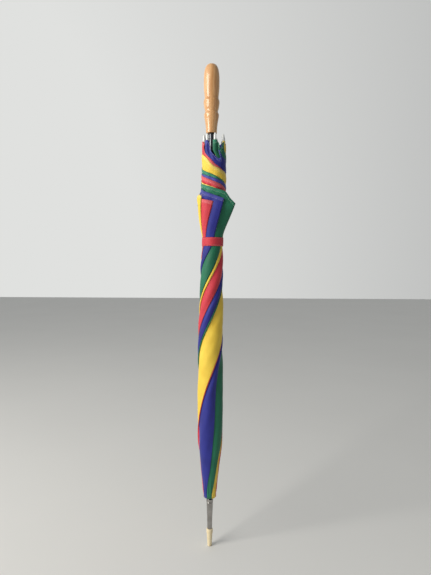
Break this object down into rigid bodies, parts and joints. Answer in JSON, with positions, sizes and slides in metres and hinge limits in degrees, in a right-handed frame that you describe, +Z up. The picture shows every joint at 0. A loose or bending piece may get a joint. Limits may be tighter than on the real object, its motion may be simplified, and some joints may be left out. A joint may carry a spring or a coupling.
{
  "type": "stick umbrella",
  "caption": "Golf umbrella, furled and strapped, with a turned straight wooden handle, steel shaft, ribs and stretchers, sliding runner, two catches and a striped cloth canopy.",
  "frame": {"origin": "centre of the tip foot's flat lower end, on the floor plane", "axes": "+Z up the shaft from the foot to the handle, -Y towards the viewer of the stored front view"},
  "size_m": [0.0759, 0.076, 1],
  "materials": {
    "lacquered_wood": "gloss lacquer",
    "dark_steel": "dark plated",
    "polished_steel": "polished",
    "cream_plastic": "satin",
    "white_plastic": "satin",
    "black_plastic": "satin",
    "blue_cloth": "woven polyester",
    "green_cloth": "woven polyester",
    "yellow_cloth": "woven polyester",
    "red_cloth": "woven polyester"
  },
  "bodies": {
    "frame": {"tip_foot": "cream_plastic", "ferrule_tube": "polished_steel", "ferrule_collar": "polished_steel", "crown_rosette": "blue_cloth", "crown_notch": "black_plastic", "crown_wire": "polished_steel", "crown_pin": "polished_steel", "shaft": "dark_steel", "stop_pin": "polished_steel", "handle": "lacquered_wood", "strap": "red_cloth", "strap_stud": "polished_steel"},
    "rib_1": {"rib_1": "dark_steel", "rib_tip_1": "white_plastic", "joint_rivet_1": "polished_steel"},
    "stretcher_1": {"stretcher_1": "dark_steel"},
    "canopy_panel_1": {"canopy_panel_1": "green_cloth"},
    "rib_2": {"rib_2": "dark_steel", "rib_tip_2": "white_plastic", "joint_rivet_2": "polished_steel"},
    "stretcher_2": {"stretcher_2": "dark_steel"},
    "canopy_panel_2": {"canopy_panel_2": "yellow_cloth"},
    "rib_3": {"rib_3": "dark_steel", "rib_tip_3": "white_plastic", "joint_rivet_3": "polished_steel"},
    "stretcher_3": {"stretcher_3": "dark_steel"},
    "canopy_panel_3": {"canopy_panel_3": "red_cloth"},
    "rib_4": {"rib_4": "dark_steel", "rib_tip_4": "white_plastic", "joint_rivet_4": "polished_steel"},
    "stretcher_4": {"stretcher_4": "dark_steel"},
    "canopy_panel_4": {"canopy_panel_4": "blue_cloth"},
    "rib_5": {"rib_5": "dark_steel", "rib_tip_5": "white_plastic", "joint_rivet_5": "polished_steel"},
    "stretcher_5": {"stretcher_5": "dark_steel"},
    "canopy_panel_5": {"canopy_panel_5": "green_cloth"},
    "rib_6": {"rib_6": "dark_steel", "rib_tip_6": "white_plastic", "joint_rivet_6": "polished_steel"},
    "stretcher_6": {"stretcher_6": "dark_steel"},
    "canopy_panel_6": {"canopy_panel_6": "yellow_cloth"},
    "rib_7": {"rib_7": "dark_steel", "rib_tip_7": "white_plastic", "joint_rivet_7": "polished_steel"},
    "stretcher_7": {"stretcher_7": "dark_steel"},
    "canopy_panel_7": {"canopy_panel_7": "red_cloth"},
    "rib_8": {"rib_8": "dark_steel", "rib_tip_8": "white_plastic", "joint_rivet_8": "polished_steel"},
    "stretcher_8": {"stretcher_8": "dark_steel"},
    "canopy_panel_8": {"canopy_panel_8": "blue_cloth"},
    "runner": {"runner": "black_plastic", "runner_wire": "polished_steel"},
    "closed_catch": {"closed_catch": "polished_steel"},
    "open_catch": {"open_catch": "polished_steel"}
  },
  "joints": [
    {"name": "umbrella_opening", "type": "hinge", "parent": "frame", "child": "rib_1", "pos_m": [-0.00351, -0.00719, 0.122], "axis": [0.8988, -0.4384, 0], "range_deg": [0, 60], "deforming": ["strap", "strap_stud"]},
    {"name": "stretcher_1_hinge", "type": "hinge", "parent": "rib_1", "child": "stretcher_1", "pos_m": [-0.00351, -0.00719, 0.452], "axis": [0.8988, -0.4384, 0], "range_deg": [-120, 0]},
    {"name": "canopy_panel_1_spread", "type": "hinge", "parent": "rib_1", "child": "canopy_panel_1", "pos_m": [-0.00175, -0.0036, 0.11507], "axis": [0.3796, 0.7784, 0.5], "range_deg": [0, 45]},
    {"name": "rib_2_hinge", "type": "hinge", "parent": "frame", "child": "rib_2", "pos_m": [0.0026, -0.00756, 0.122], "axis": [0.9455, 0.3256, 0], "range_deg": [0, 60]},
    {"name": "stretcher_2_hinge", "type": "hinge", "parent": "rib_2", "child": "stretcher_2", "pos_m": [0.0026, -0.00756, 0.452], "axis": [0.9455, 0.3256, 0], "range_deg": [-120, 0]},
    {"name": "canopy_panel_2_spread", "type": "hinge", "parent": "rib_2", "child": "canopy_panel_2", "pos_m": [0.0013, -0.00378, 0.11507], "axis": [-0.282, 0.8188, 0.5], "range_deg": [0, 45]},
    {"name": "rib_3_hinge", "type": "hinge", "parent": "frame", "child": "rib_3", "pos_m": [0.00719, -0.00351, 0.122], "axis": [0.4384, 0.8988, 0], "range_deg": [0, 60]},
    {"name": "stretcher_3_hinge", "type": "hinge", "parent": "rib_3", "child": "stretcher_3", "pos_m": [0.00719, -0.00351, 0.452], "axis": [0.4384, 0.8988, 0], "range_deg": [-120, 0]},
    {"name": "canopy_panel_3_spread", "type": "hinge", "parent": "rib_3", "child": "canopy_panel_3", "pos_m": [0.0036, -0.00175, 0.11507], "axis": [-0.7784, 0.3796, 0.5], "range_deg": [0, 45]},
    {"name": "rib_4_hinge", "type": "hinge", "parent": "frame", "child": "rib_4", "pos_m": [0.00756, 0.0026, 0.122], "axis": [-0.3256, 0.9455, 0], "range_deg": [0, 60]},
    {"name": "stretcher_4_hinge", "type": "hinge", "parent": "rib_4", "child": "stretcher_4", "pos_m": [0.00756, 0.0026, 0.452], "axis": [-0.3256, 0.9455, 0], "range_deg": [-120, 0]},
    {"name": "canopy_panel_4_spread", "type": "hinge", "parent": "rib_4", "child": "canopy_panel_4", "pos_m": [0.00378, 0.0013, 0.11507], "axis": [-0.8188, -0.282, 0.5], "range_deg": [0, 45]},
    {"name": "rib_5_hinge", "type": "hinge", "parent": "frame", "child": "rib_5", "pos_m": [0.00351, 0.00719, 0.122], "axis": [-0.8988, 0.4384, 0], "range_deg": [0, 60]},
    {"name": "stretcher_5_hinge", "type": "hinge", "parent": "rib_5", "child": "stretcher_5", "pos_m": [0.00351, 0.00719, 0.452], "axis": [-0.8988, 0.4384, 0], "range_deg": [-120, 0]},
    {"name": "canopy_panel_5_spread", "type": "hinge", "parent": "rib_5", "child": "canopy_panel_5", "pos_m": [0.00175, 0.0036, 0.11507], "axis": [-0.3796, -0.7784, 0.5], "range_deg": [0, 45]},
    {"name": "rib_6_hinge", "type": "hinge", "parent": "frame", "child": "rib_6", "pos_m": [-0.0026, 0.00756, 0.122], "axis": [-0.9455, -0.3256, 0], "range_deg": [0, 60]},
    {"name": "stretcher_6_hinge", "type": "hinge", "parent": "rib_6", "child": "stretcher_6", "pos_m": [-0.0026, 0.00756, 0.452], "axis": [-0.9455, -0.3256, 0], "range_deg": [-120, 0]},
    {"name": "canopy_panel_6_spread", "type": "hinge", "parent": "rib_6", "child": "canopy_panel_6", "pos_m": [-0.0013, 0.00378, 0.11507], "axis": [0.282, -0.8188, 0.5], "range_deg": [0, 45]},
    {"name": "rib_7_hinge", "type": "hinge", "parent": "frame", "child": "rib_7", "pos_m": [-0.00719, 0.00351, 0.122], "axis": [-0.4384, -0.8988, 0], "range_deg": [0, 60]},
    {"name": "stretcher_7_hinge", "type": "hinge", "parent": "rib_7", "child": "stretcher_7", "pos_m": [-0.00719, 0.00351, 0.452], "axis": [-0.4384, -0.8988, 0], "range_deg": [-120, 0]},
    {"name": "canopy_panel_7_spread", "type": "hinge", "parent": "rib_7", "child": "canopy_panel_7", "pos_m": [-0.0036, 0.00175, 0.11507], "axis": [0.7784, -0.3796, 0.5], "range_deg": [0, 45]},
    {"name": "rib_8_hinge", "type": "hinge", "parent": "frame", "child": "rib_8", "pos_m": [-0.00756, -0.0026, 0.122], "axis": [0.3256, -0.9455, 0], "range_deg": [0, 60]},
    {"name": "stretcher_8_hinge", "type": "hinge", "parent": "rib_8", "child": "stretcher_8", "pos_m": [-0.00756, -0.0026, 0.452], "axis": [0.3256, -0.9455, 0], "range_deg": [-120, 0]},
    {"name": "canopy_panel_8_spread", "type": "hinge", "parent": "rib_8", "child": "canopy_panel_8", "pos_m": [-0.00378, -0.0013, 0.11507], "axis": [0.8188, 0.282, 0.5], "range_deg": [0, 45]},
    {"name": "runner_hinge", "type": "hinge", "parent": "stretcher_1", "child": "runner", "pos_m": [-0.00351, -0.00719, 0.782], "axis": [0.8988, -0.4384, 0], "range_deg": [0, 60]},
    {"name": "closed_catch_press", "type": "hinge", "parent": "frame", "child": "closed_catch", "pos_m": [-0.00018, -0.00299, 0.772], "axis": [-0.9981, 0.061, 0], "range_deg": [0, 6], "stiffness_Nm_per_rad": 0.1},
    {"name": "open_catch_press", "type": "hinge", "parent": "frame", "child": "open_catch", "pos_m": [0.00018, 0.00299, 0.556], "axis": [-0.9981, 0.061, 0], "range_deg": [0, 3], "stiffness_Nm_per_rad": 0.1}
  ],
  "couplings": [
    {"joint": "stretcher_1_hinge", "follows": "umbrella_opening", "ratio": -2},
    {"joint": "canopy_panel_1_spread", "follows": "umbrella_opening", "ratio": 0.75},
    {"joint": "rib_2_hinge", "follows": "umbrella_opening", "ratio": 1},
    {"joint": "stretcher_2_hinge", "follows": "umbrella_opening", "ratio": -2},
    {"joint": "canopy_panel_2_spread", "follows": "umbrella_opening", "ratio": 0.75},
    {"joint": "rib_3_hinge", "follows": "umbrella_opening", "ratio": 1},
    {"joint": "stretcher_3_hinge", "follows": "umbrella_opening", "ratio": -2},
    {"joint": "canopy_panel_3_spread", "follows": "umbrella_opening", "ratio": 0.75},
    {"joint": "rib_4_hinge", "follows": "umbrella_opening", "ratio": 1},
    {"joint": "stretcher_4_hinge", "follows": "umbrella_opening", "ratio": -2},
    {"joint": "canopy_panel_4_spread", "follows": "umbrella_opening", "ratio": 0.75},
    {"joint": "rib_5_hinge", "follows": "umbrella_opening", "ratio": 1},
    {"joint": "stretcher_5_hinge", "follows": "umbrella_opening", "ratio": -2},
    {"joint": "canopy_panel_5_spread", "follows": "umbrella_opening", "ratio": 0.75},
    {"joint": "rib_6_hinge", "follows": "umbrella_opening", "ratio": 1},
    {"joint": "stretcher_6_hinge", "follows": "umbrella_opening", "ratio": -2},
    {"joint": "canopy_panel_6_spread", "follows": "umbrella_opening", "ratio": 0.75},
    {"joint": "rib_7_hinge", "follows": "umbrella_opening", "ratio": 1},
    {"joint": "stretcher_7_hinge", "follows": "umbrella_opening", "ratio": -2},
    {"joint": "canopy_panel_7_spread", "follows": "umbrella_opening", "ratio": 0.75},
    {"joint": "rib_8_hinge", "follows": "umbrella_opening", "ratio": 1},
    {"joint": "stretcher_8_hinge", "follows": "umbrella_opening", "ratio": -2},
    {"joint": "canopy_panel_8_spread", "follows": "umbrella_opening", "ratio": 0.75},
    {"joint": "runner_hinge", "follows": "umbrella_opening", "ratio": 1}
  ]
}
